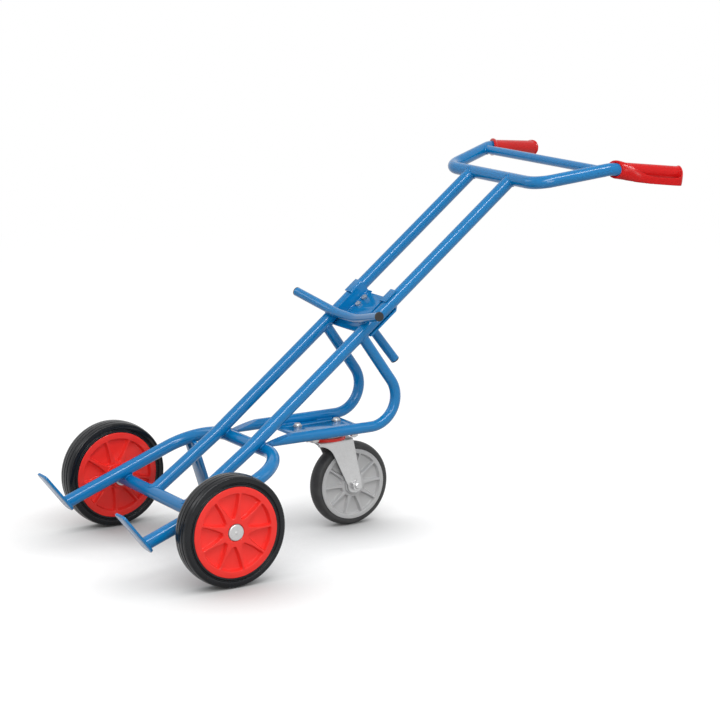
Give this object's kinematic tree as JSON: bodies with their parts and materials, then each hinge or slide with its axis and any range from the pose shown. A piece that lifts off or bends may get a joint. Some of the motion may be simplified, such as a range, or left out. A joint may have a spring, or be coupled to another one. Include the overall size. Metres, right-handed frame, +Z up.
{
  "type": "drum trolley",
  "caption": "Wheeled trolley of bent tube with leaning rails, toe plates, a swivelling rear castor, a wide handle with guarded grips and a sliding carriage, for tipping and moving drums.",
  "frame": {"origin": "on the ground, under the middle of the trolley's overall length and width", "axes": "+X to the left as seen by whoever pushes it, +Y back towards the handle, +Z up; the toe plates are at -Y"},
  "size_m": [0.6692, 1.4286, 0.8473],
  "materials": {
    "blue_paint": "glossy powder coat",
    "red_plastic": "moulded, satin to glossy",
    "tyre_rubber": "smooth black rubber",
    "grey_plastic": "moulded grey",
    "black_plastic": "moulded black",
    "bush_plastic": "natural",
    "zinc_steel": "bright zinc plate"
  },
  "bodies": {
    "frame": {"axle": "zinc_steel", "axle_tube": "blue_paint", "castor_bolts": "zinc_steel", "castor_leg_left": "blue_paint", "castor_leg_right": "blue_paint", "castor_nuts": "zinc_steel", "castor_plate": "zinc_steel", "castor_washers": "zinc_steel", "cradle_bar": "blue_paint", "cradle_plug_left": "black_plastic", "cradle_plug_right": "black_plastic", "fork_tube": "blue_paint", "grip_left": "red_plastic", "grip_right": "red_plastic", "handle_brace": "blue_paint", "handle_tube": "blue_paint", "hub_cap_left": "zinc_steel", "hub_cap_right": "zinc_steel", "inner_washer_left": "zinc_steel", "inner_washer_right": "zinc_steel", "kingpin": "zinc_steel", "kingpin_nut": "zinc_steel", "mount_plate": "blue_paint", "outer_washer_left": "zinc_steel", "outer_washer_right": "zinc_steel", "rail_left": "blue_paint", "rail_right": "blue_paint", "toe_plate_left": "blue_paint", "toe_plate_right": "blue_paint", "tread_bar": "blue_paint"},
    "wheel_left": {"wheel_rim_left": "red_plastic", "wheel_tyre_left": "tyre_rubber", "wheel_bush_left": "bush_plastic"},
    "wheel_right": {"wheel_rim_right": "red_plastic", "wheel_tyre_right": "tyre_rubber", "wheel_bush_right": "bush_plastic"},
    "castor": {"castor_fork": "zinc_steel", "castor_seal": "red_plastic", "castor_balls": "zinc_steel", "castor_axle_bolt": "zinc_steel", "castor_axle_nut": "zinc_steel", "castor_sleeve": "zinc_steel"},
    "castor_wheel": {"castor_rim": "grey_plastic", "castor_tyre": "tyre_rubber", "castor_bush": "bush_plastic"},
    "carriage": {"carriage_channel": "blue_paint", "carriage_plate": "blue_paint", "push_handle": "blue_paint", "push_handle_plug": "black_plastic", "carriage_bolts": "zinc_steel", "carriage_nuts": "zinc_steel"}
  },
  "joints": [
    {"name": "wheel_left_spin", "type": "hinge", "parent": "frame", "child": "wheel_left", "pos_m": [0.29, -0.49118, 0.125], "axis": [1, 0, 0], "continuous": true},
    {"name": "wheel_right_spin", "type": "hinge", "parent": "frame", "child": "wheel_right", "pos_m": [-0.29, -0.49118, 0.125], "axis": [1, 0, 0], "continuous": true},
    {"name": "castor_swivel", "type": "hinge", "parent": "frame", "child": "castor", "pos_m": [0, -0.08018, 0.215], "axis": [0, 0, 1], "continuous": true},
    {"name": "castor_wheel_spin", "type": "hinge", "parent": "castor", "child": "castor_wheel", "pos_m": [0, -0.01918, 0.1], "axis": [1, 0, 0], "continuous": true},
    {"name": "carriage_slide", "type": "slide", "parent": "frame", "child": "carriage", "axis": [0, 0.7864, 0.6177], "range_m": [0, 0.37]}
  ]
}
